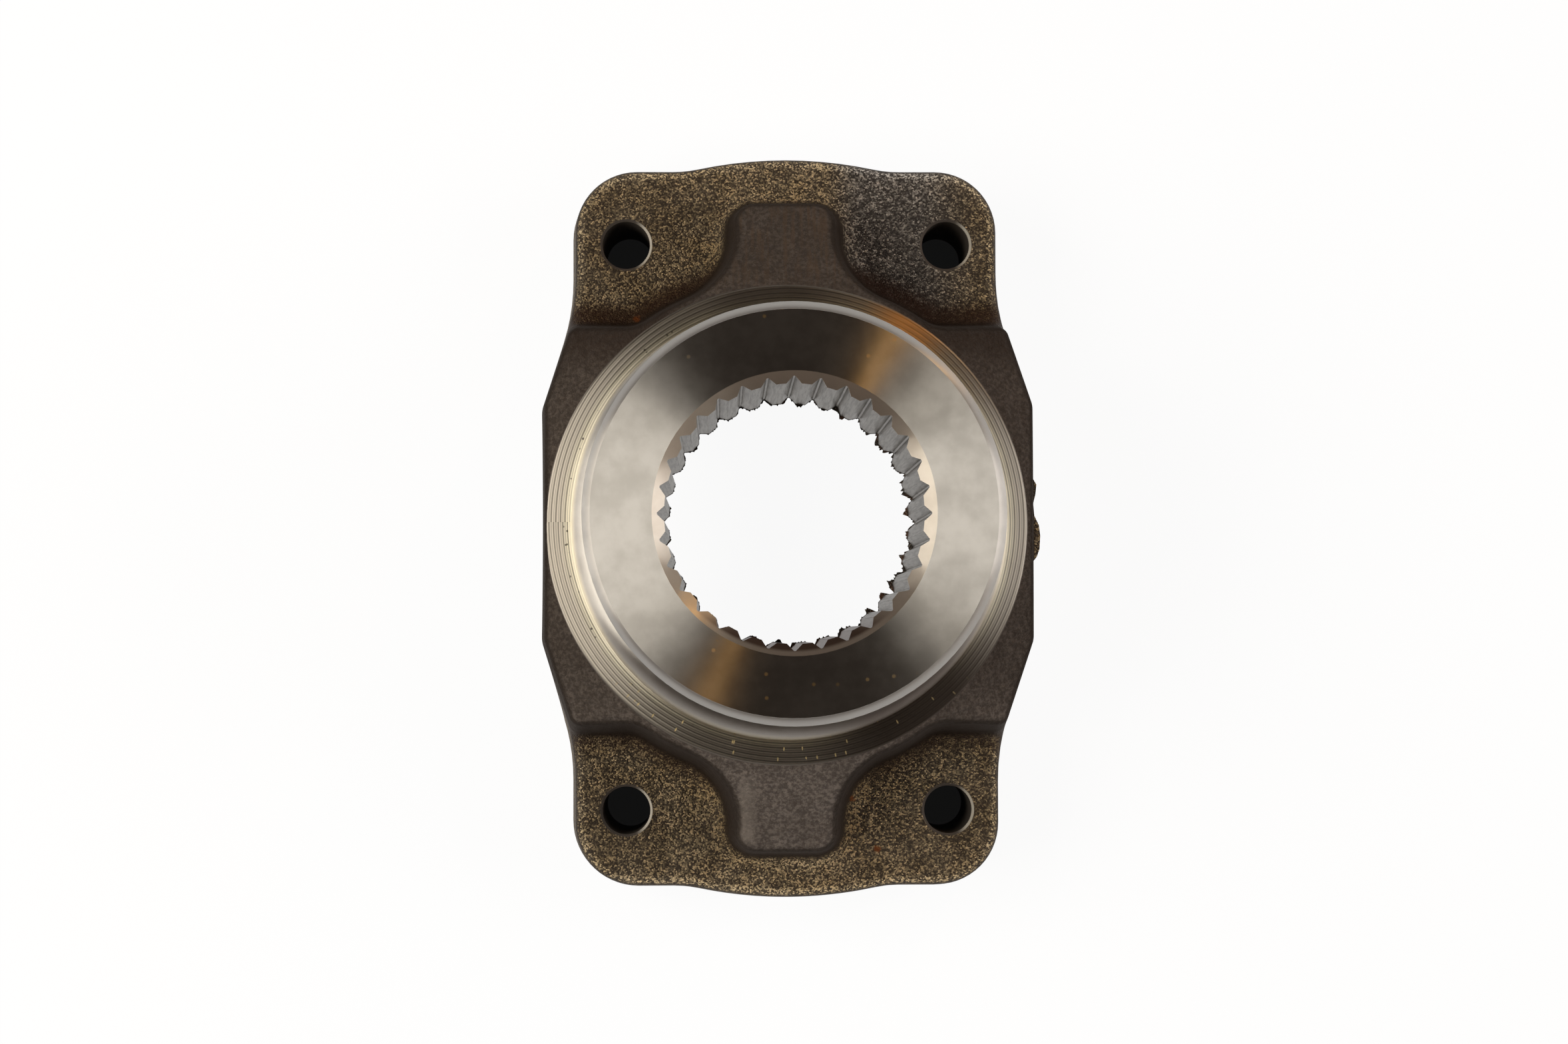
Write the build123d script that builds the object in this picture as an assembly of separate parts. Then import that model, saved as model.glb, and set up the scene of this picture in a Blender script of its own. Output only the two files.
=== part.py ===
from build123d import *
from math import pi, radians, tan
import os

# Half-round end yoke for a universal joint: one steel forging, machined afterwards.
# Millimetres. Z is the hub axis, pointing to the hub end. Y is the trunnion axis, which the two
# bearing caps lie along, and X runs across the ears. The origin is the joint centre, in the
# plane of the four strap seats that the yoke stands on.

# The joint cross and its bearing caps
cap_diameter = 34.92
cap_span = 126.2
cap_stop_step = 3.2
throat_radius = 38.0

# The strap bolts
bolt_spacing_x = 59.0
bolt_spacing_y = 104.0
bolt_hole_diameter = 8.75
bolt_hole_chamfer = 0.45

# The hub that takes the splined shaft and runs in the oil seal
hub_end_height = 89.0
journal_diameter = 69.85
journal_lead_in = 1.4
journal_foot_radius = 3.5
shoulder_height = 50.4

# The internal spline and the nut seat at its far end
tooth_count = 32
spline_minor_radius = 21.4
spline_depth = 1.15
spline_tip_width = 1.7
spline_root_width = 0.32
spline_lead_in = 2.0
nut_seat_height = 42.3
nut_recess_diameter = 54.0

# The forging's plan outline, in the parting plane of the ears
parting_height = 13.0
ear_half_width = 39.85
ear_half_length = 66.8
ear_corner_radius = 12.3
ear_bulge = 2.2
ear_bulge_half_width = 18.5
ear_bulge_blend = 22.0
flank_inset = 0.2
flank_half_length = 21.3
flank_corner_radius = 7.0
flank_run_out = 40.6
flank_blend = 38.0
upper_draft = 5.0
lower_draft = 3.0
flash_thickness = 1.6

# The back of the forging: lug pads, hub boss and ribs, which the upper die shaped
lug_height = 26.0
back_slope = 30.0
boss_radius = 46.5
shoulder_inset = 4.4
boss_band_inset = 8.8
boss_band_blend = 5.0
rib_half_width = 10.9
rib_reach_share = 0.66
rib_corner_radius = 5.5
rib_blend_share = 1.52
boss_draft = 7.0
foot_radius = 4.0
roll_radius = 2.2
upper_die_shift_x = -0.5
upper_die_shift_y = -0.5

# Sizes that follow from those above
cap_radius = cap_diameter / 2
journal_radius = journal_diameter / 2
spline_major_radius = spline_minor_radius + spline_depth
shoulder_radius = boss_radius - shoulder_inset
flank_half_width = boss_radius - flank_inset
boss_band_half_length = boss_radius - boss_band_inset
rib_half_length = boss_radius + rib_reach_share * (ear_half_length - boss_radius)
rib_blend = rib_blend_share * (rib_half_length - rib_corner_radius - boss_radius)
pad_rise = shoulder_height - lug_height
reach = 2 * ear_half_length


def at_corner(x, y, point, slack=0.2):
    """True where a point lies at one of the four corners +-x, +-y."""
    return abs(abs(point.X) - x) < slack and abs(abs(point.Y) - y) < slack


def ear_outline():
    """Plan outline of the forging: two ears with bulged ends, and the wider flanks of the web."""
    quadrant = [
        (flank_half_width, flank_half_length),
        (ear_half_width, flank_run_out),
        (ear_half_width, ear_half_length),
    ]
    points = quadrant + [(-x, y) for x, y in reversed(quadrant)]
    points += [(x, -y) for x, y in reversed(points)]
    face = make_face(Polyline(*points, close=True))
    for (x, y), radius in zip(quadrant, (flank_corner_radius, flank_blend, ear_corner_radius)):
        face = fillet([v for v in face.vertices() if at_corner(x, y, v)], radius)
    crest = ear_half_length + ear_bulge
    bulge_radius = (ear_bulge_half_width ** 2 + ear_bulge ** 2) / (2 * ear_bulge)
    for side in (1, -1):
        disc = Pos(0, side * (crest - bulge_radius)) * Circle(bulge_radius)
        band = Pos(0, side * crest) * Rectangle(4 * ear_bulge_half_width, 4 * ear_bulge)
        face += disc & band
    meets = [v for v in face.vertices() if at_corner(ear_bulge_half_width, ear_half_length, v)]
    return fillet(meets, ear_bulge_blend)


def boss_outline():
    """Plan of what stands above the lug pads: hub boss, the band across the flanks and two ribs."""
    rib = Rectangle(2 * rib_half_width, 2 * rib_half_length)
    face = Circle(boss_radius) + Rectangle(4 * flank_half_width, 2 * boss_band_half_length)
    face += fillet(rib.vertices(), rib_corner_radius)
    band_meets = (boss_radius ** 2 - boss_band_half_length ** 2) ** 0.5
    rib_meets = (boss_radius ** 2 - rib_half_width ** 2) ** 0.5
    corners = [v for v in face.vertices() if at_corner(band_meets, boss_band_half_length, v)]
    face = fillet(corners, boss_band_blend)
    return fillet([v for v in face.vertices() if at_corner(rib_half_width, rib_meets, v)], rib_blend)


def drafted(outline, height, angle):
    """A plan outline raised to a height, its walls leaning in by the draft angle."""
    block = extrude(outline, amount=height, dir=(0, 0, 1))
    walls = [f for f in block.faces() if abs(f.normal_at().Z) < 0.01]
    return draft(walls, Plane.XY, angle)


def is_folded(solid, edge):
    """True where the two faces beside an edge meet at a visible angle."""
    beside = [f for f in solid.faces() if any(e.is_same(edge) for e in f.edges())]
    normals = [f.normal_at(edge @ 0.5) for f in beside]
    return len(normals) == 2 and normals[0].get_angle(normals[1]) > 8


def forged_blank():
    """The forging as it leaves the dies, with its back turned flat at the shoulder."""
    parting = Pos(0, 0, parting_height)
    blank = parting * drafted(ear_outline(), shoulder_height - parting_height, upper_draft)
    blank += parting * Rot(180, 0, 0) * drafted(ear_outline(), parting_height, lower_draft)
    upper_die = Pos(upper_die_shift_x, upper_die_shift_y)
    back_run = shoulder_height / tan(radians(back_slope))
    back = Cone(shoulder_radius + back_run, shoulder_radius, shoulder_height)
    blank &= upper_die * Pos(0, 0, shoulder_height / 2) * back
    pad_space = Pos(0, 0, lug_height + pad_rise / 2) * Box(reach, 2 * reach, pad_rise)
    boss = drafted(boss_outline(), pad_rise, boss_draft)
    blank -= pad_space - upper_die * Pos(0, 0, lug_height) * boss
    feet = [e for e in blank.edges() if abs((e @ 0.5).Z - lug_height) < 0.01 and e.is_interior]
    blank = fillet(feet, foot_radius)
    above = [e for e in blank.edges() if min((e @ t).Z for t in (0, 0.5, 1)) > lug_height - 0.01]
    below_shoulder = [e for e in above if (e @ 0.5).Z < shoulder_height - 0.01]
    rolled = [e for e in below_shoulder if is_folded(blank, e) and not e.is_interior]
    return fillet(rolled, roll_radius)


def splined_bore():
    """The space inside the hub: splined bore, its lead-in and the nut recess behind it."""
    tooth_pitch = 2 * pi * spline_minor_radius / tooth_count
    half_mouth = (tooth_pitch - spline_tip_width) / 2
    half_root = spline_root_width / 2
    inner = spline_minor_radius - spline_depth
    groove = make_face(Polyline(
        (inner, -half_mouth), (spline_minor_radius, -half_mouth), (spline_major_radius, -half_root),
        (spline_major_radius, half_root), (spline_minor_radius, half_mouth), (inner, half_mouth),
        close=True))
    plan = Circle(spline_minor_radius)
    for tooth in range(tooth_count):
        plan += Rot(0, 0, tooth * 360 / tooth_count) * groove
    bore = Pos(0, 0, nut_seat_height) * extrude(plan, amount=hub_end_height, dir=(0, 0, 1))
    lead_in = Cone(spline_minor_radius, spline_minor_radius + spline_lead_in, spline_lead_in)
    bore += Pos(0, 0, hub_end_height - spline_lead_in / 2) * lead_in
    recess = Cylinder(nut_recess_diameter / 2, nut_seat_height)
    return bore + Pos(0, 0, nut_seat_height / 2) * recess


def bolt_hole():
    """One strap bolt hole through an ear, chamfered where it leaves either face."""
    radius = bolt_hole_diameter / 2
    hole = Cylinder(radius, 4 * lug_height)
    for height, turn in ((0, 0), (lug_height, 180)):
        mouth = Cone(radius + bolt_hole_chamfer, radius, bolt_hole_chamfer)
        hole += Pos(0, 0, height) * Rot(turn, 0, 0) * Pos(0, 0, bolt_hole_chamfer / 2) * mouth
    return hole


def cap_saddles():
    """Both half-round saddles, each with the stop that locates the bearing cap endwise."""
    lying = Rot(90, 0, 0)
    seats = lying * Cylinder(cap_radius, cap_span)
    return seats + lying * Cylinder(cap_radius - cap_stop_step, 2 * reach)


def hub():
    """The turned hub: seal journal with a lead-in chamfer, and a fillet at its foot."""
    outer = journal_radius + journal_foot_radius
    sunk = shoulder_height - journal_foot_radius
    foot = RadiusArc((outer, shoulder_height),
                     (journal_radius, shoulder_height + journal_foot_radius), -journal_foot_radius)
    rest = Polyline(
        foot @ 1, (journal_radius, hub_end_height - journal_lead_in),
        (journal_radius - journal_lead_in, hub_end_height), (0, hub_end_height), (0, sunk),
        (outer, sunk), foot @ 0)
    return revolve(Plane.XZ * make_face([foot, rest]), Axis.Z)


def flash_stub():
    """The flash left along the lower edge of one flank by the trimming press: a ragged lip."""
    top = throat_radius + flash_thickness
    flank_x = flank_half_width - (top - parting_height) * tan(radians(upper_draft))
    first = [(8.2, 0.0), (7.0, 0.7), (5.2, 0.5), (3.6, 0.1)]
    second = [(1.4, 0.3), (-0.3, 1.1), (-2.2, 1.35), (-4.6, 1.2), (-6.0, 0.7), (-6.9, 0.0)]
    torn = [(flank_x + proud, along) for along, proud in first + second]
    root = [(flank_x - flash_thickness, along) for along in (second[-1][0], first[0][0])]
    lip = make_face(Polyline(*torn, *root, close=True))
    return Pos(0, 0, top) * extrude(lip, amount=2 * flash_thickness, dir=(0, 0, -1))


yoke = forged_blank() + flash_stub()
yoke -= Rot(0, 90, 0) * Cylinder(throat_radius, reach)
yoke += hub()
yoke -= splined_bore()
yoke -= cap_saddles()
for x in (-bolt_spacing_x / 2, bolt_spacing_x / 2):
    for y in (-bolt_spacing_y / 2, bolt_spacing_y / 2):
        yoke -= Pos(x, y) * bolt_hole()

os.makedirs("parts", exist_ok=True)
export_step(yoke, "parts/yoke.step")
box = yoke.bounding_box()
print(f"yoke: {len(yoke.solids())} solid, valid {yoke.is_valid}, {yoke.volume:.0f} mm3")
print(f"box {box.min.X:.2f} {box.min.Y:.2f} {box.min.Z:.2f}  {box.max.X:.2f} {box.max.Y:.2f} "
      f"{box.max.Z:.2f}")
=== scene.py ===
# %% [markdown]
# # A forged yoke, as it came off the truck
# The yoke is one steel forging: two drilled ears, a ribbed back and a hub. Most of it keeps the
# dark, grainy skin that the hammer left. Only the hub, the shoulder round it, the bore, the
# saddles, the seats and the holes were cut bright. The imported CAD model is loaded first, because
# every finish below is painted on its true shape.

# %% Load the yoke
from math import atan2, cos, hypot, pi, radians, sin, tan
import bpy
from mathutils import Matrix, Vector, noise


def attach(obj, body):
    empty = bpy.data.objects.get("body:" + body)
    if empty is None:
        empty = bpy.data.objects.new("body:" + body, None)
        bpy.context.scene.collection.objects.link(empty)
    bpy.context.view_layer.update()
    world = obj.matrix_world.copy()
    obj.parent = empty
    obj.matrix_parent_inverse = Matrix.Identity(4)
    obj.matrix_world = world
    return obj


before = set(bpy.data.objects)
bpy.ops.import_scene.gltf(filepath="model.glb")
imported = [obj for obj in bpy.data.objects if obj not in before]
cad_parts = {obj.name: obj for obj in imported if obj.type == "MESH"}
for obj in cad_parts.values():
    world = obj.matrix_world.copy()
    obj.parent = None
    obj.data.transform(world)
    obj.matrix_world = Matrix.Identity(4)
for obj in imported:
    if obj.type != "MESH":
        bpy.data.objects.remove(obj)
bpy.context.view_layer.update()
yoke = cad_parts["yoke"]

# %% [markdown]
# ## The camera
# The photograph looks straight down on the hub from a little over half a metre, leaning by a
# degree or two. Its place was worked out from the shift between the parts of the yoke that stand
# high and those that lie low. A long lens keeps the ears nearly as large as the nearer hub.

# %% Look down on the hub end
photo_width = 2355
focal_length_in_pixels = 4600
camera_place = (-0.011787, -0.019901, 0.589118)
camera_turn = (0.0368537, -0.0199441, -0.0023597)
camera_data = bpy.data.cameras.new("photo_camera")
camera_data.sensor_width = 36
camera_data.lens = camera_data.sensor_width * focal_length_in_pixels / photo_width
camera_data.clip_end = 20
camera = bpy.data.objects.new("photo_camera", camera_data)
camera.location = camera_place
camera.rotation_euler = camera_turn
bpy.context.collection.objects.link(camera)
bpy.context.scene.camera = camera
bpy.context.scene.view_settings.view_transform = "Standard"
print("camera: lens", round(camera_data.lens, 1), "mm")

# %% [markdown]
# ## Expressions that become shader nodes
# A shader is easier to read as sums than as a web of boxes. A wire stands for one socket, and
# writing an expression on wires adds the Math nodes for it. All other nodes come from one method,
# which takes the node's kind, its settings and what goes into its sockets.

# %% A wire, which adds and multiplies like a number
class Wire:
    """One output socket of a node."""

    def __init__(self, finish, socket):
        self.finish = finish
        self.socket = socket

    def math(self, operation, *others):
        values = {place: value for place, value in enumerate((self, *others))}
        return self.finish.node("Math", {"operation": operation}, values)

    def __add__(self, other):
        return self.math("ADD", other)

    def __sub__(self, other):
        return self.math("SUBTRACT", other)

    def __rsub__(self, other):
        return self.finish.node("Math", {"operation": "SUBTRACT"}, {0: other, 1: self})

    def __mul__(self, other):
        return self.math("MULTIPLY", other)

    def __truediv__(self, other):
        return self.math("DIVIDE", other)

    def __pow__(self, other):
        return self.math("POWER", other)

    def __abs__(self):
        return self.math("ABSOLUTE")

    def either(self, other):
        """The larger of two masks, which holds where one of them does."""
        return self.math("MAXIMUM", other)

    def capped(self):
        return self.math("MINIMUM", 1.0)

    __radd__ = __add__
    __rmul__ = __mul__


def span(across, along):
    """How far a point is from a centre, when it is so far across and so far along."""
    return (across * across + along * along).math("SQRT")


print("wires add, subtract, multiply, divide and take a power")


# %% The finish that the wires belong to
class Finish:
    """A node tree that grows as its expressions are written."""

    def __init__(self, tree):
        self.tree = tree
        self.tree.nodes.clear()

    def node(self, kind, settings=None, sockets=None, output=0):
        made = self.tree.nodes.new("ShaderNode" + kind)
        for name, value in (settings or {}).items():
            setattr(made, name, value)
        for name, value in (sockets or {}).items():
            if isinstance(value, Wire):
                self.tree.links.new(value.socket, made.inputs[name])
            else:
                made.inputs[name].default_value = value
        return Wire(self, made.outputs[output]) if len(made.outputs) else made

    def rise(self, value, low, high):
        """0 below low, 1 above high and a soft step between."""
        limits = {"Value": value, "From Min": low, "From Max": high}
        return self.node("MapRange", {"interpolation_type": "SMOOTHSTEP"}, limits)

    def fall(self, value, low, high):
        """1 below low, 0 above high and a soft step between."""
        return 1 - self.rise(value, low, high)

    def parts(self, vector):
        """The X, Y and Z of a vector."""
        split = self.node("SeparateXYZ", {}, {"Vector": vector}).socket.node
        return [Wire(self, socket) for socket in split.outputs]

    def noise(self, place, per_mm, detail=2.0, roughness=0.5):
        sockets = {"Vector": place, "Scale": per_mm, "Detail": detail, "Roughness": roughness}
        return self.node("TexNoise", {}, sockets)

    def cells(self, place, per_mm, dimensions="3D"):
        """How far a point is from the middle of its cell, in a pattern of scattered cells."""
        sockets = {"Vector": place, "Scale": per_mm}
        return self.node("TexVoronoi", {"voronoi_dimensions": dimensions}, sockets)

    def luck(self, cells):
        """A number from 0 to 1 that each cell of a pattern has for itself."""
        hue = Wire(self, cells.socket.node.outputs["Color"])
        return self.node("SeparateColor", {}, {"Color": hue}, output="Red")

    def bump(self, height):
        """A small relief, with its height in mm."""
        sockets = {"Strength": 1.0, "Distance": 0.001, "Height": height}
        return self.node("Bump", {}, sockets, output="Normal")

    def blend(self, share, first, second):
        """A mix of two colours: the second's share is given."""
        first, second = (c if isinstance(c, Wire) else (*c, 1) for c in (first, second))
        colours = {0: share, 6: first, 7: second}
        return self.node("Mix", {"data_type": "RGBA"}, colours, output=2)


print("shader helpers are ready")

# %% [markdown]
# ## A light table
# The yoke was photographed on a white light table, which shows pure white and keeps hardly any
# shadow. A white sheet under strong lamps could do that, but the lamps would wash out the steel.
# So this sheet is grey with a glow of its own, which only looks straight at it, mirror images and
# looks through glass can see. The glow is nearly left off under the four bolt holes, as painted
# shade in them, because they are black in the photograph, and the sheet is clear from below, so
# that the underside shows.

# %% A sheet to stand on
table_half_width = 3.0
table_gap = 0.0001
bpy.ops.object.select_all(action="DESELECT")
bpy.ops.mesh.primitive_plane_add(size=2 * table_half_width, location=(0, 0, -table_gap))
table = bpy.context.object
table.name = "light_table"
print("table:", 2 * table_half_width, "m across")

# %% The sheet's glow
table_grey = (0.12, 0.12, 0.12, 1)
table_glow = 0.93
glow_left_under_holes = 0.0055
foot_x, foot_y, foot_radius = 0.0295, 0.052, 0.006

white = bpy.data.materials.new("white_table")
white.use_nodes = True
sheet = Finish(white.node_tree)


def sees_background(finish):
    """1 for a look straight at a thing, or at its mirror image, and 0 for light on its way."""
    camera_ray, glossy_ray, transmission_ray = (
        finish.node("LightPath", output=name)
        for name in ("Is Camera Ray", "Is Glossy Ray", "Is Transmission Ray"))
    return camera_ray.either(glossy_ray).either(transmission_ray)


matt = sheet.node("BsdfDiffuse", {}, {"Color": table_grey})
sheet_x, sheet_y, _ = sheet.parts(sheet.node("TexCoord", output="Object"))
from_foot = span(abs(sheet_x) - foot_x, abs(sheet_y) - foot_y)
in_the_open = sheet.rise(from_foot, foot_radius, foot_radius + 0.001)
# Painted shade: under the bolt holes the glow is nearly left off, so they show dark.
glow_share = sees_background(sheet) * (in_the_open + (1 - in_the_open) * glow_left_under_holes)
white_glow = sheet.node("Emission", {}, {"Color": (1, 1, 1, 1), "Strength": table_glow})
glow = sheet.node("MixShader", {}, {"Fac": glow_share, 2: white_glow})
from_above = sheet.node("AddShader", {}, {0: matt, 1: glow})
clear = sheet.node("BsdfTransparent")
is_below = sheet.node("NewGeometry", output="Backfacing")
one_sided = sheet.node("MixShader", {}, {"Fac": is_below, 1: from_above, 2: clear})
sheet.node("OutputMaterial", {}, {"Surface": one_sided})
table.data.materials.append(white)
print("table glow:", table_glow)

# %% [markdown]
# ## Lamps
# Two long soft boxes stand left and right of the yoke, the left one warmer and stronger. A turned
# face spreads each lamp into a fan along its own direction, so lamps on the left and right light
# the hub at 3 and 9 o'clock and leave it nearly black at 12 and 6. A small amber lamp behind draws
# the two amber streaks.

# %% Soft boxes left and right, and a small amber lamp
lamp_aim_height = 0.05


def soft_box(name, azimuth, elevation, distance, size, colour, watts):
    """An area lamp that looks at the hub from a direction, its size given as width and height."""
    data = bpy.data.lights.new(name, "AREA")
    data.shape = "RECTANGLE"
    data.size, data.size_y = size
    data.energy = watts
    data.color = colour
    lamp = bpy.data.objects.new(name, data)
    flat = cos(radians(elevation)) * distance
    lamp.location = (flat * cos(radians(azimuth)), flat * sin(radians(azimuth)),
                     lamp_aim_height + sin(radians(elevation)) * distance)
    lamp.rotation_euler = (radians(90 - elevation), 0, radians(azimuth + 90))
    bpy.context.collection.objects.link(lamp)
    return lamp


soft_box("left_box", azimuth=180, elevation=51, distance=0.8, size=(0.66, 0.38),
         colour=(1.0, 0.94, 0.84), watts=3.7)
soft_box("right_box", azimuth=3, elevation=38, distance=0.8, size=(0.46, 0.32),
         colour=(1.0, 0.97, 0.94), watts=1.62)
soft_box("amber_lamp", azimuth=52, elevation=42, distance=0.9, size=(0.05, 0.25),
         colour=(1.0, 0.54, 0.17), watts=0.46)

# %% [markdown]
# ## The room
# Bright steel shows the room round it as much as the lamps. This room is nearly dark for matt
# surfaces. A mirror sees a pale horizon in it, with a brighter window on either side, and that
# lights the rim, the foot fillet and the wall of the hub. The camera sees plain white.

# %% A quiet room with a white horizon
overhead_level = 0.020
horizon_level = 0.32
room = bpy.context.scene.world or bpy.data.worlds.new("room")
bpy.context.scene.world = room
room.use_nodes = True
air = Finish(room.node_tree)
eastward, _, upward = air.parts(air.node("TexCoord", output="Generated"))
side_window = abs(eastward) ** 6 * (0.62 + 0.26 * eastward)
horizon = air.fall(abs(upward), 0.12, 0.70)
wall = horizon * (horizon_level + side_window)
seen = air.node("LightPath", output="Is Camera Ray")
level = (overhead_level + sees_background(air) * wall).either(seen)
tint = air.blend(seen, (1.0, 0.80, 0.67), (1.0, 1.0, 1.0))
backdrop = air.node("Background", {}, {"Color": tint, "Strength": level})
air.node("OutputWorld", {}, {"Surface": backdrop})
print("room: pale horizon with side windows, dim overhead")

# %% [markdown]
# ## Where each finish lies
# One steel carries every finish, so one material covers the yoke and works out from a point's
# place which tool touched it last. All lengths are in millimetres from the joint centre, with Z up
# the hub, Y from ear to ear and X across the ears.

# %% The yoke's places
shoulder_height = 50.4
hub_end_height = 89.0
lug_height = 26.0
journal_radius = 34.925
rim_chamfer = 1.4
lead_in_radius = 23.4
recess_radius = 27.0
spline_root_radius = 22.55
saddle_radius = 17.46
hole_x, hole_y, hole_radius = 29.5, 52.0, 4.375

steel = bpy.data.materials.new("forged_steel_finish")
steel.use_nodes = True
skin = Finish(steel.node_tree)
metres = skin.node("TexCoord", output="Object")
place = skin.node("VectorMath", {"operation": "SCALE"}, {"Vector": metres, "Scale": 1000})
x, y, z = skin.parts(place)
radius = span(x, y)
angle = y.math("ARCTAN2", x)
south = 0 - y
west = 0 - x
print("places in millimetres are ready")

# %% Which surfaces were cut
below_lead_in = hub_end_height - lead_in_radius - 0.1
in_spline = (skin.fall(radius, spline_root_radius + 0.2, spline_root_radius + 0.4)
             * skin.fall(z - radius, below_lead_in - 0.05, below_lead_in + 0.02))
turned = skin.rise(z, shoulder_height - 0.25, shoulder_height - 0.1) * (1 - in_spline)
bored = skin.fall(radius, recess_radius + 0.05, recess_radius + 0.15)
saddle = skin.fall(span(x, z), saddle_radius + 0.05, saddle_radius + 0.15)
seat = skin.fall(z, 0.05, 0.15)
from_hole = span(abs(x) - hole_x, abs(y) - hole_y)
drilled = skin.fall(from_hole, hole_radius + 0.35, hole_radius + 0.5)
cut = turned.either(bored).either(saddle).either(seat).either(drilled)
print("cut surfaces: shoulder and hub, bore, saddles, seats, holes")

# %% [markdown]
# ## The forged skin
# Scale and shot have left a coarse grain on the low pads and the ears, while the ribs and the
# corners beside the hub are smoother. The coarse grain is a bump of small cells and grit, and the
# smooth skin has less grit and no cells. Broad waves and dimples run under both, as the die left
# them. A bump is enough, because the grain is a tenth or two of a millimetre high.

# %% Where the skin is coarse, steep or high
coarse = skin.fall(z, lug_height + 1.5, lug_height + 6)
upright = abs(skin.parts(skin.node("TexCoord", output="Normal"))[2])
flash = skin.rise(x, 44.1, 44.4) * skin.fall(abs(y), 8.6, 9.2)
steep = skin.fall(upright, 0.30, 0.80) * (1 - flash)
high_up = skin.rise(z, 21.5, 25)
print("skin: coarse up to", lug_height + 1.5, "mm")

# %% The grain's relief
pips_per_mm = 3.6
pip = skin.cells(place, pips_per_mm)
grit = skin.noise(place, 2.6, 4.0, 0.65)
waves = skin.noise(place, 0.30, 2.0)
dimples = skin.noise(place, 0.9, 2.0)
coarse_grain = pip * -0.30 + grit * 0.36
fine_grain = grit * 0.22
skin_bump = skin.bump(
    coarse_grain * coarse + fine_grain * (1 - coarse) + waves * 0.7 + dimples * 0.22)
print("grain:", pips_per_mm, "cells to the mm")

# %% [markdown]
# ## Grains that glitter
# Every cell of the grain has a luck of its own, and the luckiest glitter like brass, more so where
# they crowd. They crowd in clumps, beside the ribs and at the ends of the ears. More of them are
# painted highlights on the slopes at the feet of the ribs and along the left edge, and painted
# light round the hub, where its shade falls, so their number is painted by place. On the right of
# the upper rib both the grains and the scale between them are painted grey, as a painted reflection
# of the cooler right lamp.

# %% How thick the bright grains lie
clump = skin.rise(skin.noise(place, 1.1, 3.0), 0.38, 0.62)
beside_rib = skin.rise(abs(y), 44, 50) * skin.fall(z, 28.5, 30.5)
# Painted highlights: more glints on the slopes at the feet of the ribs.
slope_highlight = skin.rise(upright, 0.50, 0.75) * skin.fall(upright, 0.94, 0.99) * beside_rib
inner_pad = skin.fall(abs(x), 18, 27) * (0.10 + 0.17 * skin.rise(south, 0, 40)) * beside_rib
# Painted highlights: more glints along the left edge.
west_edge_highlight = skin.rise(west, 31, 39)
end_edge = skin.rise(abs(y), 57, 65)
# Painted reflection: right of the upper rib the pad takes the cool grey of the right lamp.
cool_reflection_pad = skin.rise(x, 6, 14) * skin.fall(x, 24, 37) * skin.rise(y, 30, 44)
# Painted light: more glints round the hub, where its shade falls.
painted_light_near_hub = skin.fall(radius, 51, 62) * (1 - cool_reflection_pad)
crowd = (0.36 + inner_pad + 0.68 * clump + 0.6 * slope_highlight + 0.12 * west_edge_highlight
         + 0.35 * end_edge + 0.40 * painted_light_near_hub)
shown = coarse.either(flash) * (1 - steep * (0.45 + 0.40 * high_up))
luck = skin.luck(pip)
glitter = (luck * luck * luck * crowd).capped() * shown
print("bright grains are placed")

# %% The colours of the coarse skin
# The cool grey painted reflection tints both the scale and the grains.
cool_reflection_share = cool_reflection_pad * 0.75
patch = skin.rise(skin.noise(place, 0.16, 3.0), 0.35, 0.65)
scale_brown = skin.blend(patch, (0.068, 0.052, 0.038), (0.090, 0.072, 0.055))
scale_brown = skin.blend(cool_reflection_share, scale_brown, (0.064, 0.060, 0.060))
gold = skin.blend(patch, (0.84, 0.65, 0.38), (0.94, 0.75, 0.47))
gold = skin.blend(cool_reflection_share, gold, (0.76, 0.75, 0.75))
print("coarse skin: brown scale with golden grains")

# %% [markdown]
# ## The smoother skin
# The ribs and the corners are flecked brown, and painted light makes the lower half paler. The
# upper rib has rust-brown streaks along it, the lower one a painted highlight along a ridge near
# its left side, and the upper corners are darkened by painted shade.

# %% The colours of the smooth skin
fleck = skin.rise(skin.noise(place, 1.4, 4.0, 0.7), 0.40, 0.64)
smooth_brown = skin.blend(fleck, (0.060, 0.047, 0.039), (0.125, 0.102, 0.086))
# Painted light: the lower half of the smooth skin is paler.
painted_light_brown = skin.blend(fleck, (0.118, 0.098, 0.086), (0.275, 0.234, 0.205))
smooth_brown = skin.blend(skin.rise(south, 24, 46), smooth_brown, painted_light_brown)
along_rib = skin.node("VectorMath", {"operation": "MULTIPLY"}, {0: place, 1: (1.3, 0.12, 0.12)})
streak = skin.rise(skin.noise(along_rib, 1.0, 3.0), 0.42, 0.66) * skin.rise(y, 38, 46)
smooth_brown = skin.blend(streak * 0.55, smooth_brown, (0.125, 0.080, 0.050))
smooth_brown = skin.blend(patch * 0.25, smooth_brown, (0.046, 0.034, 0.026))
# Painted shade in the upper corners.
upper_corner_shade = skin.rise(y, 25, 33) * skin.rise(abs(x), 14, 24)
smooth_brown = skin.blend(upper_corner_shade * 0.8, smooth_brown, (0.030, 0.018, 0.012))
# A painted highlight along the lower rib, near its left side.
ridge_highlight = (skin.rise(x, -9.6, -8.3) * skin.fall(x, -7.7, -5.0)
         * skin.rise(south, 44, 48) * skin.fall(south, 56, 58))
smooth_brown = skin.blend(ridge_highlight * 0.5, smooth_brown, (0.34, 0.295, 0.255))
print("smooth skin: flecked brown")

# %% [markdown]
# ## Painted shade at the feet and edges, and rust
# Painted shade lies in the corners: along the feet of the round boss and of the step across the
# flanks, darker on the upper half, and on the steep walls. The rolled edges are dull, and painted
# shade darkens them too. A few spots of rust sit on the pads, each with a ragged edge.

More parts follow.
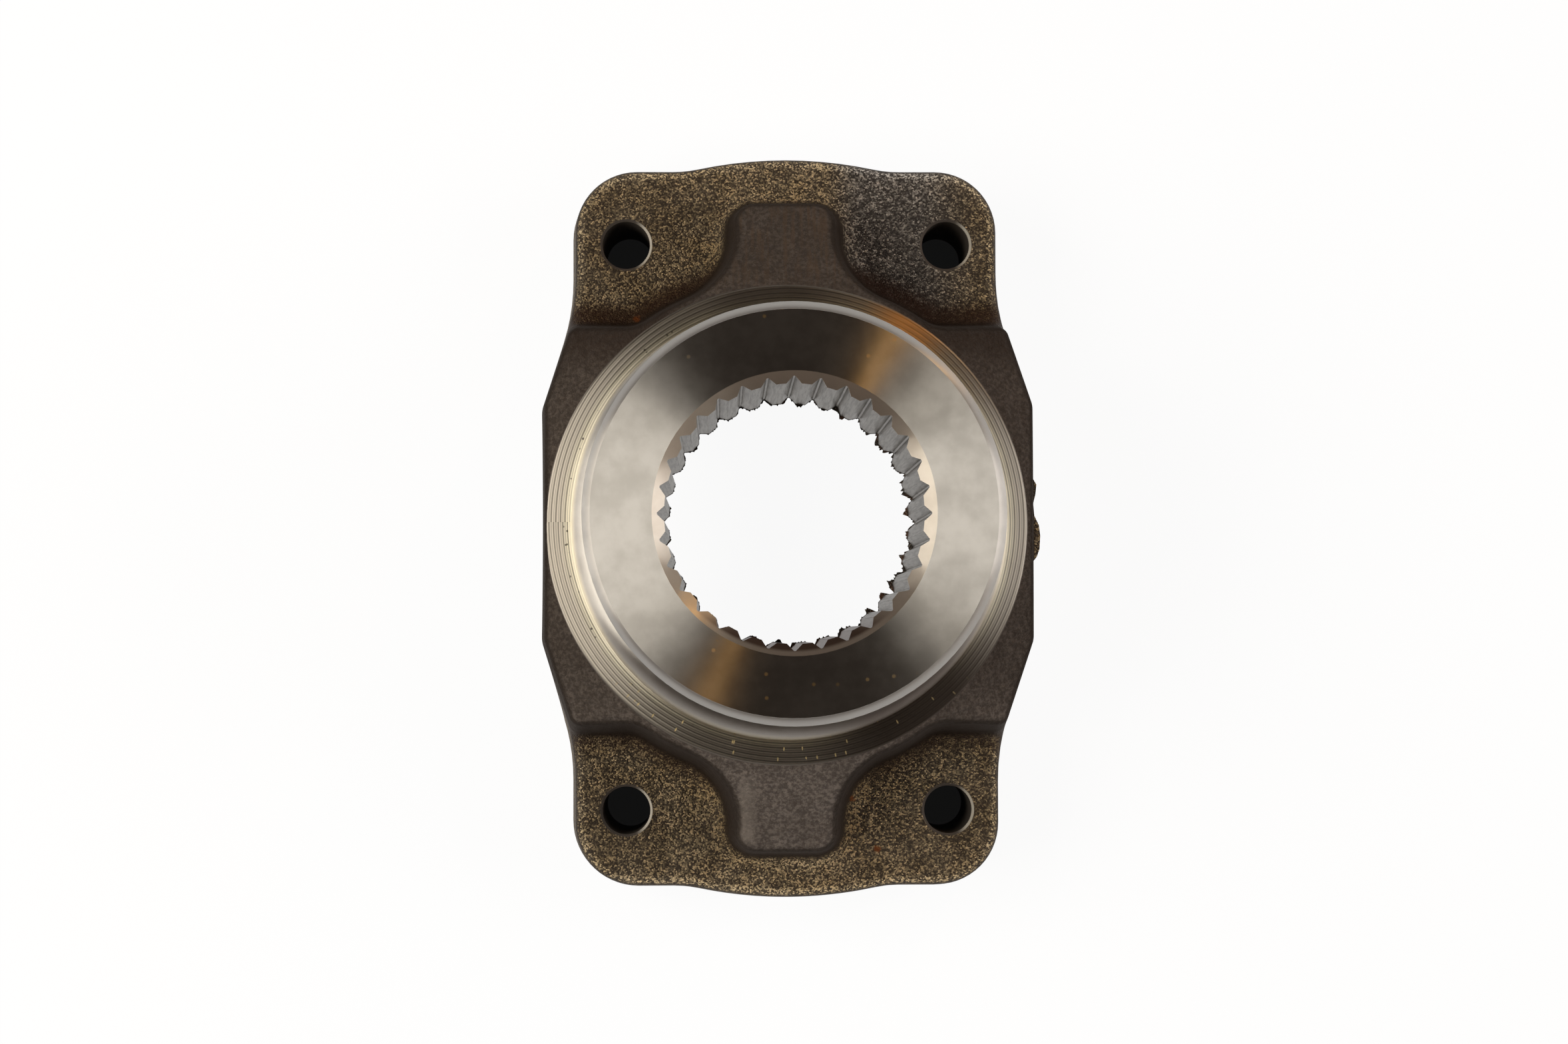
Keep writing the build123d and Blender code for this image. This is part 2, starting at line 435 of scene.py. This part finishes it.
# %% Corners and edges
brown = skin.blend(coarse, smooth_brown, scale_brown)
brown = skin.blend(glitter, brown, gold)
# Painted shade along the feet of the boss and the step, darker on the upper half.
near_arc = skin.fall(radius, 47.5, 51.2)
near_step = skin.fall(abs(y), 39, 42.5)
foot_shade_depth = 0.52 + 0.34 * skin.rise(y, -10, 10)
foot_shade = near_arc.either(near_step) * skin.fall(z, 27, 33) * foot_shade_depth
brown = skin.blend(foot_shade * high_up, brown, (0.048, 0.021, 0.012))
# The rolled edges are dull, with painted shade on them.
dull_shaded_edge = skin.fall(upright, 0.62, 0.86) * skin.rise(z, 28, 31)
brown = skin.blend(dull_shaded_edge * 0.6, brown, (0.030, 0.020, 0.014))
# Painted shade on the steep walls, deeper high up.
brown = skin.blend(steep * (0.22 + 0.44 * high_up), brown, (0.020, 0.013, 0.009))
print("corners and edges are dark")

# %% Rust spots, and the forged finish
rust_spots = [(22.6, -38.7, 1.5), (11.2, -46.3, 0.8), (11.8, -49.9, 0.7), (16.4, -59.2, 0.9),
              (-27.5, 38.2, 0.8)]
ragged = skin.noise(place, 1.3, 3.0) * 1.2
rust = 0.0
for spot_x, spot_y, size in rust_spots:
    away = span(x - spot_x, y - spot_y) + ragged - 0.6
    rust = skin.fall(away, 0.4 * size, size) + rust
brown = skin.blend(rust.capped() * coarse * 0.85, brown, (0.30, 0.095, 0.025))
forged = skin.node("BsdfPrincipled", {}, {
    "Base Color": brown,
    "Metallic": 0.35 + 0.6 * glitter,
    "Roughness": 0.52 - 0.14 * glitter + 0.28 * dull_shaded_edge,
    "Specular Tint": (0.55, 0.48, 0.42, 1),
    "Normal": skin_bump})
print("forged skin:", len(rust_spots), "rust spots")

# %% [markdown]
# ## The turned steel
# The lathe left rings. On the hub they are too fine to see and only show by how they spread the
# light, which the anisotropic highlight does. On the shoulder the tool left a spiral of 0.4 mm
# steps. Every second groove is made deeper than its neighbour: equal grooves this fine beat
# against the pixels of a small picture and look like the grain of wood.

# %% The relief of the turned steel
groove_pitch = 0.405
spiral = (radius + angle * (groove_pitch / (2 * pi))) / groove_pitch
step = spiral.math("PINGPONG", 0.5)
deep_step = (spiral * 0.5).math("PINGPONG", 0.5)
on_shoulder = skin.fall(z, shoulder_height + 0.02, shoulder_height + 0.3)
groove_share = on_shoulder * skin.rise(radius, journal_radius + 3.2, journal_radius + 4.2)
groove_height = (step * 0.020 + deep_step * 0.075) * groove_share

rim_height = hub_end_height - rim_chamfer
rim_radius = journal_radius - rim_chamfer
on_rim = (skin.rise(z, rim_height - 0.02, rim_height + 0.02)
          * skin.rise(radius, rim_radius - 0.02, rim_radius + 0.02))
from_rim = radius - (journal_radius - rim_chamfer / 2 - 0.3)
rounding = from_rim * from_rim * on_rim * -0.36
turned_bump = skin.bump(groove_height + rounding)
print("grooves:", groove_pitch, "mm apart")

# %% [markdown]
# The hub's steel has gone a little dull, while the shoulder, its fillet and the lead-in are fresh.
# A cream band on the fillet is a painted highlight, the grooves get painted shade as dark lines,
# and whole rings differ in tone.

# %% Clean steel, a painted highlight and painted shade in the grooves
smudge = skin.rise(skin.noise(place, 0.22, 4.0, 0.6), 0.3, 0.7)
dull_steel = skin.blend(smudge, (0.55, 0.53, 0.495), (0.64, 0.62, 0.585))
fresh_steel = skin.blend(smudge, (0.84, 0.78, 0.69), (0.92, 0.86, 0.77))
on_low = skin.fall(z, shoulder_height + 0.9, shoulder_height + 2.5)
on_lead_in = skin.fall(radius, lead_in_radius - 0.02, lead_in_radius + 0.02)
bright = skin.blend(on_low.either(on_lead_in), dull_steel, fresh_steel)
# Painted highlight: a cream band on the foot fillet.
fillet_highlight = on_low * skin.rise(radius, 36.2, 37.2) * skin.fall(radius, 39.2, 40.6)
bright = skin.blend(fillet_highlight, bright, (1.0, 0.95, 0.80))
# Painted shade: dark lines in the grooves.
groove_shade = 0.38 * skin.fall(step, 0.05, 0.30) + 0.44 * skin.fall(deep_step, 0.04, 0.26)
bright = skin.blend(groove_shade * groove_share, bright, (0.18, 0.16, 0.135))
across = skin.node("CombineXYZ", {}, {"X": radius})
ring_tone = skin.rise(skin.noise(across, 1.5, 2.0, 0.6), 0.40, 0.62) * groove_share
bright = skin.blend(ring_tone * 0.30, bright, (0.26, 0.23, 0.20))
print("turned steel: dull hub, fresh shoulder")

# %% [markdown]
# ## Painted light on the shoulder
# The shoulder has painted light in three sectors: an amber painted reflection at 1 o'clock, and
# painted shade at 12 and 5 o'clock, where the shade runs up the foot fillet too. Each is painted by
# its angle.

# %% An amber painted reflection and two painted shades
amber_reflection_angle, top_shade_angle, low_shade_angle = 1.02, 1.65, -0.98
# Painted reflection of the amber lamp, as a streak at 1 o'clock.
amber_reflection = skin.fall(abs(angle - amber_reflection_angle), 0.04, 0.24) * on_shoulder
bright = skin.blend(amber_reflection * 0.7, bright, (1.0, 0.58, 0.25))
# Painted shade at 5 and 12 o'clock, running up the foot fillet too.
low_shade = skin.fall(abs(angle - low_shade_angle), 0.15, 0.60)
top_shade = skin.fall(abs(angle - top_shade_angle), 0.10, 0.38)
on_foot = skin.fall(z, shoulder_height + 2.8, shoulder_height + 3.8)
sector_shade = (low_shade * 0.85).either(top_shade * 0.45) * on_foot
bright = skin.blend(sector_shade, bright, (0.22, 0.18, 0.155))
print("stains: 3")

# %% [markdown]
# ## Pits, nicks and specks
# A ring of dark pits lies in the shoulder on the left, short golden nicks cross its grooves at the
# bottom, and a few golden specks show in the dark parts of the hub's face. All three are the
# middles of scattered cells. A pattern of flat cells is used for the nicks and specks, because a
# cut through solid cells seldom meets their middles.

# %% Scattered marks
pit_ring_radius = 39.4
on_pit_ring = skin.fall(abs(radius - pit_ring_radius), 0.3, 0.5)
pit = skin.fall(skin.cells(place, 0.75), 0.12, 0.20) * on_pit_ring * on_shoulder
pit = pit * skin.rise(west, 15, 25)
bright = skin.blend(pit * 0.8, bright, (0.07, 0.055, 0.045))

unrolled = {"X": radius * 0.55, "Y": angle * (1.6 * pit_ring_radius)}
nicks = skin.cells(skin.node("CombineXYZ", {}, unrolled), 1.0, "2D")
nick = skin.fall(nicks, 0.16, 0.24) * skin.rise(skin.luck(nicks), 0.88, 0.89)
nick = nick * on_shoulder * skin.rise(south, 26, 33)
bright = skin.blend(nick, bright, (0.95, 0.80, 0.48))

hub_face_height, hub_face_radius = hub_end_height - 0.1, 24.2
on_hub_face = (skin.rise(z, hub_face_height, hub_face_height + 0.05)
               * skin.rise(radius, hub_face_radius, hub_face_radius + 0.4))
specks = skin.cells(place, 0.24, "2D")
speck = skin.fall(specks, 0.05, 0.10) * skin.rise(skin.luck(specks), 0.66, 0.67)
speck = speck * on_hub_face * skin.rise(abs(y) / radius, 0.78, 0.88)
bright = skin.blend(speck * 0.8, bright, (0.90, 0.66, 0.32))
print("pits, nicks and specks are scattered")

# %% The turned finish
rusty_south = skin.rise(south, 15, 20)
rusty_lip = skin.fall(radius, 22.2, 22.9) * rusty_south
bright = skin.blend(rusty_lip * 0.8, bright, (0.13, 0.050, 0.027))
turned_steel = skin.node("BsdfPrincipled", {}, {
    "Base Color": bright,
    "Metallic": 1.0,
    "Roughness": 0.33 + 0.05 * smudge + 0.17 * groove_share + 0.40 * nick + 0.30 * speck,
    "Anisotropic": 1.0,
    "Anisotropic Rotation": 0.25,
    "Normal": turned_bump})
print("turned steel is ready")

# %% [markdown]
# ## The other cut surfaces
# The mill crossed the saddles and seats, the boring bar went round the recess, and the broach was
# dragged down the teeth, so each has fine marks in its tool's own direction. The lower teeth are
# brown with rust. The walls of the bolt holes are dull, and painted shade makes them dark, with a
# painted highlight on the lip at the top of their right side, as the photograph shows it.

# %% Tool marks
flat_cut = saddle.either(seat)
tool_place = skin.node("CombineXYZ", {}, {"X": y * flat_cut + z * (1 - flat_cut)})
tool_mark = skin.rise(skin.noise(tool_place, 3.0, 3.0, 0.6), 0.36, 0.64)
down_bore = skin.node("VectorMath", {"operation": "MULTIPLY"}, {0: place, 1: (2.6, 2.6, 0.10)})
drag_mark = skin.rise(skin.noise(down_bore, 1.0, 3.0, 0.6), 0.38, 0.66)
mark = tool_mark * (1 - in_spline) + drag_mark * in_spline
print("tool marks: across the cuts, and down the teeth")

# %% The cut finish
worn = skin.blend(mark, (0.32, 0.305, 0.29), (0.175, 0.162, 0.15))
toothed = skin.blend(mark, (0.41, 0.39, 0.36), (0.21, 0.195, 0.175))
worn = skin.blend(in_spline, worn, toothed)
worn = skin.blend(in_spline * rusty_south * 0.8, worn, (0.115, 0.042, 0.022))
# Painted shade darkens the walls of the bolt holes.
worn = skin.blend(drilled, worn, (0.13, 0.11, 0.095))
# Painted highlight: a bright lip on the right side of each bolt hole.
right_of_hole = x - hole_x * x.math("SIGN")
lip_highlight = (skin.rise(right_of_hole, 0.35 * hole_radius, 0.85 * hole_radius)
            * skin.rise(z, lug_height - 1.6, lug_height - 0.3) * drilled)
worn = skin.blend(lip_highlight, worn, (0.85, 0.80, 0.70))
cut_steel = skin.node("BsdfPrincipled", {}, {
    "Base Color": worn,
    "Metallic": 1 - 0.75 * drilled,
    "Roughness": 0.36 + 0.16 * drilled - 0.14 * lip_highlight - 0.06 * in_spline,
    "Specular Tint": (0.40, 0.39, 0.38, 1)})
print("cut steel is ready")

# %% One steel for the whole yoke
all_cut = skin.node("MixShader", {}, {"Fac": turned, 1: cut_steel, 2: turned_steel})
whole = skin.node("MixShader", {}, {"Fac": cut, 1: forged, 2: all_cut})
skin.node("OutputMaterial", {}, {"Surface": whole})
yoke.data.materials.clear()
yoke.data.materials.append(steel)
print("steel:", len(skin.tree.nodes), "nodes")

# %% [markdown]
# ## Burrs at the far ends of the teeth
# The broach that cut the spline tore thin scraps of steel out at the far end, where each tooth
# stops above the nut seat. They show against the light as a dark, chewed edge. They are a flat
# ribbon that follows the toothed wall, with its inner edge drawn in and down by a smooth noise, so
# no two scraps match. A ribbon is enough, because burrs are as thin as paper.

# %% The line of the toothed wall
nut_seat_height = 42.3
tooth_count = 32
tooth_tip_radius = 21.4
root_half_width = 0.16
tooth_tip_half_width = 0.85
mouth_half_width = pi * tooth_tip_radius / tooth_count - tooth_tip_half_width


def toothed_wall(turn):
    """The radius of the splined wall, in mm, at an angle about the hub's axis."""
    tooth_turn = 2 * pi / tooth_count
    off_groove = abs((turn + tooth_turn / 2) % tooth_turn - tooth_turn / 2)
    depth = spline_root_radius - tooth_tip_radius
    lean = tan(off_groove)
    inwards = (spline_root_radius * lean - root_half_width) / (
        mouth_half_width - root_half_width + depth * lean)
    if inwards >= 1:
        return tooth_tip_radius
    return (spline_root_radius - depth * max(inwards, 0)) / cos(off_groove)


print("wall:", round(toothed_wall(0), 2), "mm in a groove,",
      round(toothed_wall(pi / tooth_count), 2), "mm on a tooth")

# %% [markdown]
# The ribbon starts as a circle, which is extruded and drawn in. Its outer points then go just
# inside the steel of the wall, and its inner points stand proud of the wall by what the noise
# gives them, so that the ribbon can't come loose from the teeth.

# %% A flat ring of points
points_round = 48 * tooth_count
bpy.ops.object.select_all(action="DESELECT")
bpy.ops.mesh.primitive_circle_add(vertices=points_round, radius=tooth_tip_radius / 1000,
                                  location=(0, 0, nut_seat_height / 1000))
burrs = bpy.context.object
burrs.name = "spline_burrs"
bpy.ops.object.transform_apply(location=True, rotation=True, scale=True)
bpy.ops.object.mode_set(mode="EDIT")
bpy.ops.mesh.select_all(action="SELECT")
bpy.ops.mesh.extrude_region_move()
bpy.ops.transform.resize(value=(0.97, 0.97, 1))
bpy.ops.object.mode_set(mode="OBJECT")
print("ring:", len(burrs.data.vertices), "points")

# %% A ribbon of torn steel
sunk_into_wall = 0.12
ribbon_thickness = 0.00012
inner_edge_limit = 0.985 * tooth_tip_radius
for corner in burrs.data.vertices:
    turn = atan2(corner.co.y, corner.co.x)
    out = toothed_wall(turn) + sunk_into_wall
    drop = 0.0
    if hypot(corner.co.x, corner.co.y) * 1000 < inner_edge_limit:
        around = Vector((cos(turn), sin(turn), 0))
        broad_scrap = max(0, noise.noise(around * 17 + Vector((0, 0, 3))))
        scrap = broad_scrap + 0.5 * max(0, noise.noise(around * 60))
        out -= sunk_into_wall + 0.06 + (1.0 + 0.5 * cos(turn - 0.3)) * scrap
        drop = 0.05 + 0.35 * scrap
    corner.co = Vector((out * cos(turn), out * sin(turn), nut_seat_height - drop)) / 1000
thickness = burrs.modifiers.new("thickness", "SOLIDIFY")
thickness.thickness = ribbon_thickness
thickness.offset = 0
bpy.ops.object.modifier_apply(modifier="thickness")
bpy.ops.object.select_all(action="DESELECT")
print("burrs:", len(burrs.data.polygons), "faces")

# %% Torn, tarnished steel
tarnish = bpy.data.materials.new("torn_steel")
tarnish.use_nodes = True
torn = Finish(tarnish.node_tree)
torn_metres = torn.node("TexCoord", output="Object")
torn_place = torn.node("VectorMath", {"operation": "SCALE"}, {"Vector": torn_metres, "Scale": 1000})
rusty = torn.rise(torn.noise(torn_place, 0.5, 3.0), 0.45, 0.62)
glint = torn.rise(torn.noise(torn_place, 4.0, 2.0), 0.52, 0.66)
torn_colour = torn.blend(rusty, (0.045, 0.036, 0.030), (0.115, 0.050, 0.025))
torn_colour = torn.blend(glint * 0.6, torn_colour, (0.34, 0.30, 0.25))
torn_steel = torn.node("BsdfPrincipled", {}, {
    "Base Color": torn_colour,
    "Metallic": 0.6,
    "Roughness": 0.55 - 0.1 * glint,
    "Normal": torn.bump(torn.noise(torn_place, 5.0, 3.0) * 0.1)})
torn.node("OutputMaterial", {}, {"Surface": torn_steel})
burrs.data.materials.append(tarnish)
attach(burrs, "root")
print("burrs ride on the yoke")
